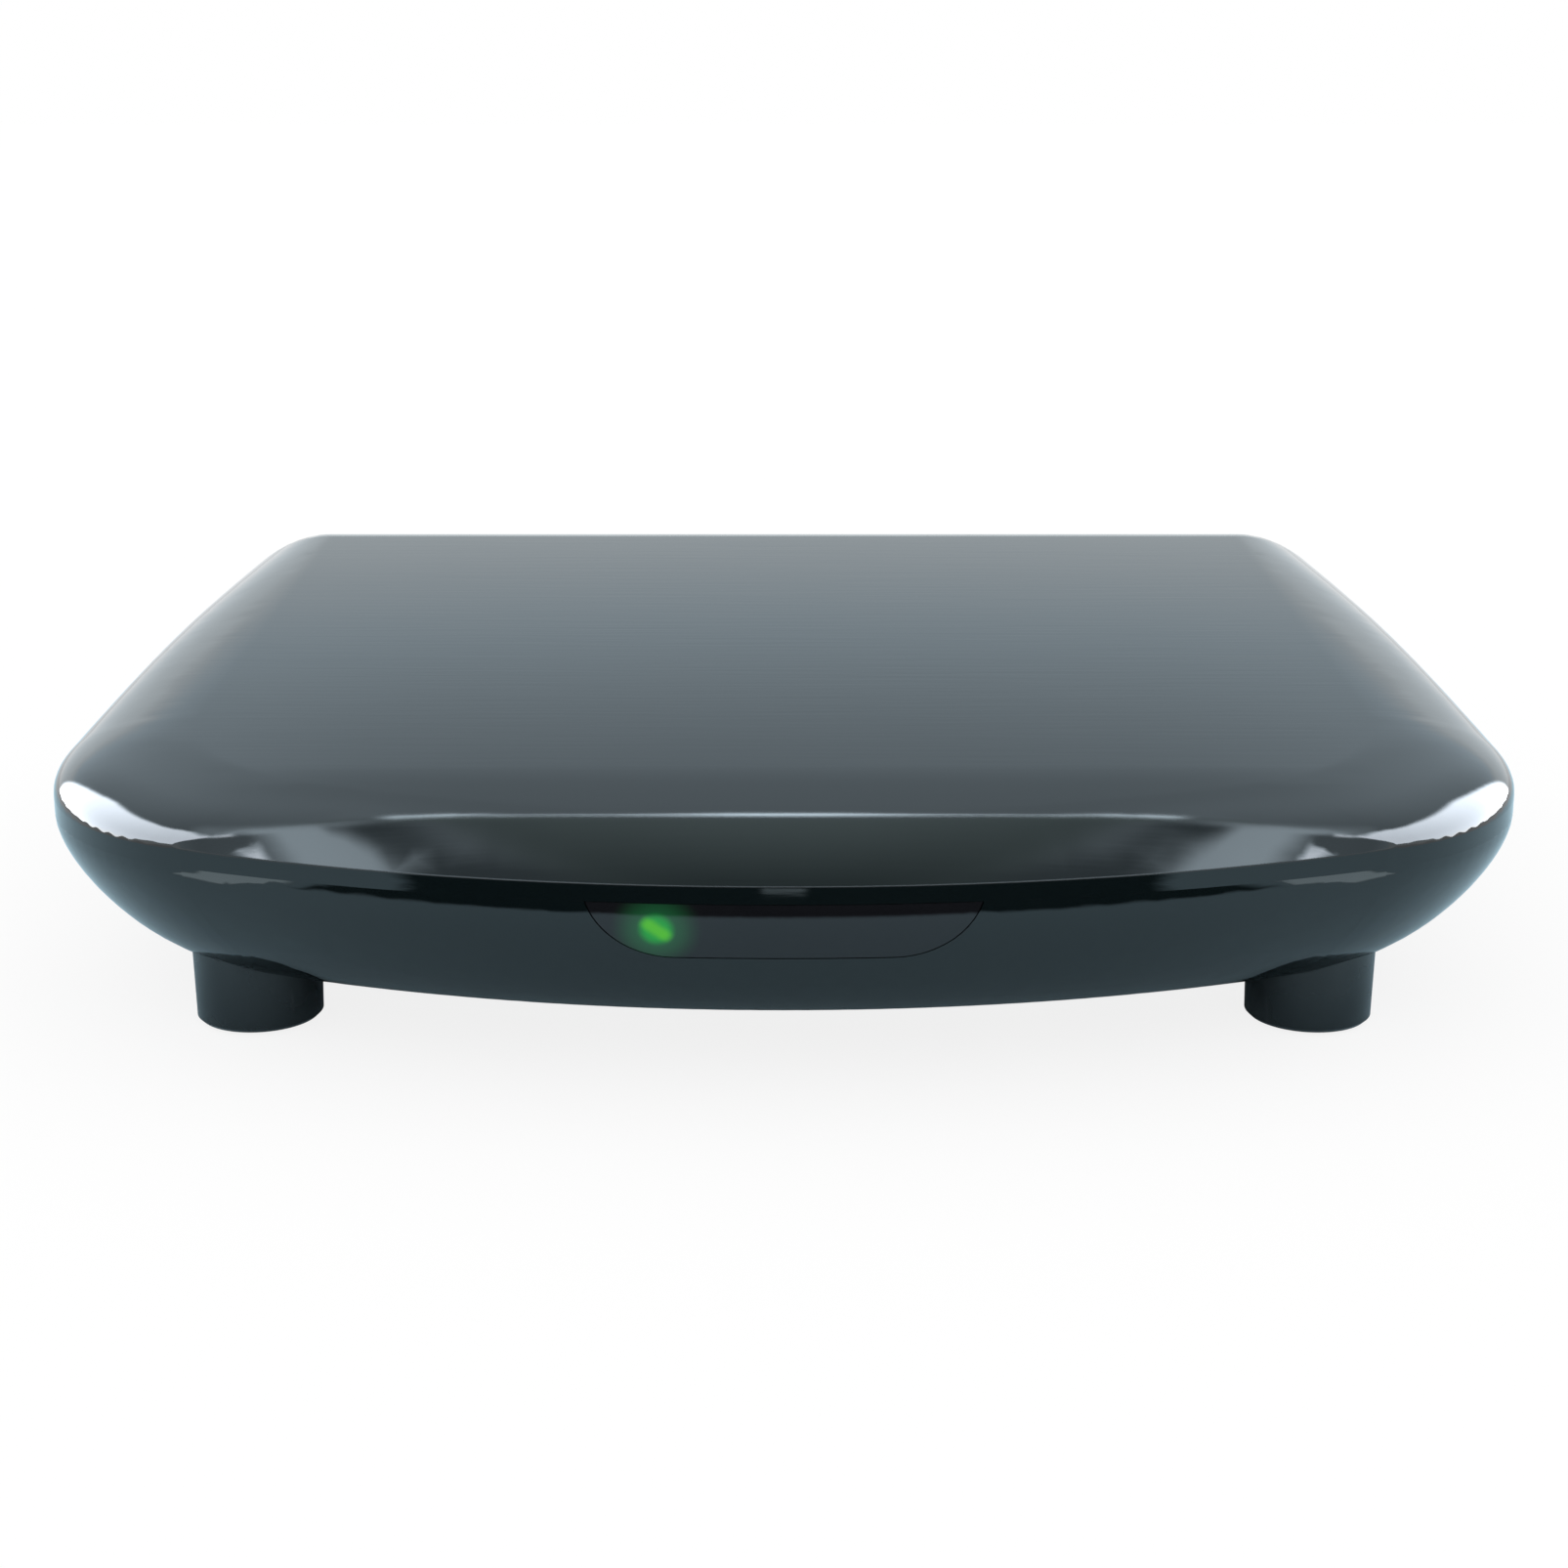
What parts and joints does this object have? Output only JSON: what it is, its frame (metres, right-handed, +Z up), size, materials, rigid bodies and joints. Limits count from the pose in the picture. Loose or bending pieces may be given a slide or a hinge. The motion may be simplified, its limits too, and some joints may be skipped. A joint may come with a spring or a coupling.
{
  "type": "satellite television receiver",
  "caption": "Compact satellite TV receiver: pillow-shaped gloss cover on a bowl-shaped base with four round feet, a dark front window with a lamp, and rear sockets with a rocker switch.",
  "frame": {"origin": "on the ground plane, under the middle of the bounding box", "axes": "+X to the right in a front view; -Y is the front; +Z up"},
  "size_m": [0.2006, 0.1675, 0.0435],
  "materials": {
    "gloss_black": "high gloss",
    "smoked_window": "smoked, see-through to infrared",
    "black_plastic": "fine texture",
    "rubber": "matt",
    "zinc_steel": "bright",
    "circuit_board": "solder mask",
    "tinned_steel": "tinned",
    "nickel": "nickel plated",
    "pale_plastic": "natural",
    "black_core": "moulded",
    "gold_contact": "gold flashed",
    "orange_plastic": "moulded",
    "chip_plastic": "moulded",
    "grey_pad": "matt",
    "aluminium": "extruded",
    "capacitor_sleeve": "shrink sleeve",
    "ferrite": "ferrite",
    "green_lamp": "diffused"
  },
  "bodies": {
    "housing": {"aerial_in_connector": "nickel", "aerial_insulators": "pale_plastic", "aerial_nuts": "nickel", "aerial_out_connector": "nickel", "board_screws": "zinc_steel", "capacitors": "capacitor_sleeve", "case_screws": "zinc_steel", "crystal": "zinc_steel", "demodulator_chip": "chip_plastic", "digital_audio_barrel": "gold_contact", "digital_audio_body": "orange_plastic", "flash_chip": "chip_plastic", "foot_front_left": "black_plastic", "foot_front_right": "black_plastic", "foot_pads": "rubber", "foot_rear_left": "black_plastic", "foot_rear_right": "black_plastic", "front_window": "smoked_window", "hdmi_shell": "zinc_steel", "hdmi_tongue": "black_core", "heat_pad": "grey_pad", "heatsink": "aluminium", "infrared_receiver": "black_plastic", "led": "green_lamp", "led_holder": "pale_plastic", "lower_shell": "gloss_black", "main_board": "circuit_board", "memory_chips": "chip_plastic", "power_coils": "ferrite", "power_inlet": "black_plastic", "power_inlet_pin": "gold_contact", "processor": "chip_plastic", "rear_panel": "black_plastic", "regulators": "chip_plastic", "scart_contacts": "gold_contact", "scart_socket": "black_plastic", "switch_housing": "black_plastic", "switch_terminals": "gold_contact", "top_cover": "gloss_black", "tuner_can": "tinned_steel", "tuner_lid": "tinned_steel", "usb_shell": "zinc_steel", "usb_tongue": "black_core"},
    "rocker": {"switch_rocker": "black_plastic"}
  },
  "joints": [
    {"name": "power_rocker", "type": "hinge", "parent": "housing", "child": "rocker", "pos_m": [-0.07562, 0.07085, 0.0255], "axis": [1, 0, 0], "range_deg": [-18, 0]}
  ]
}
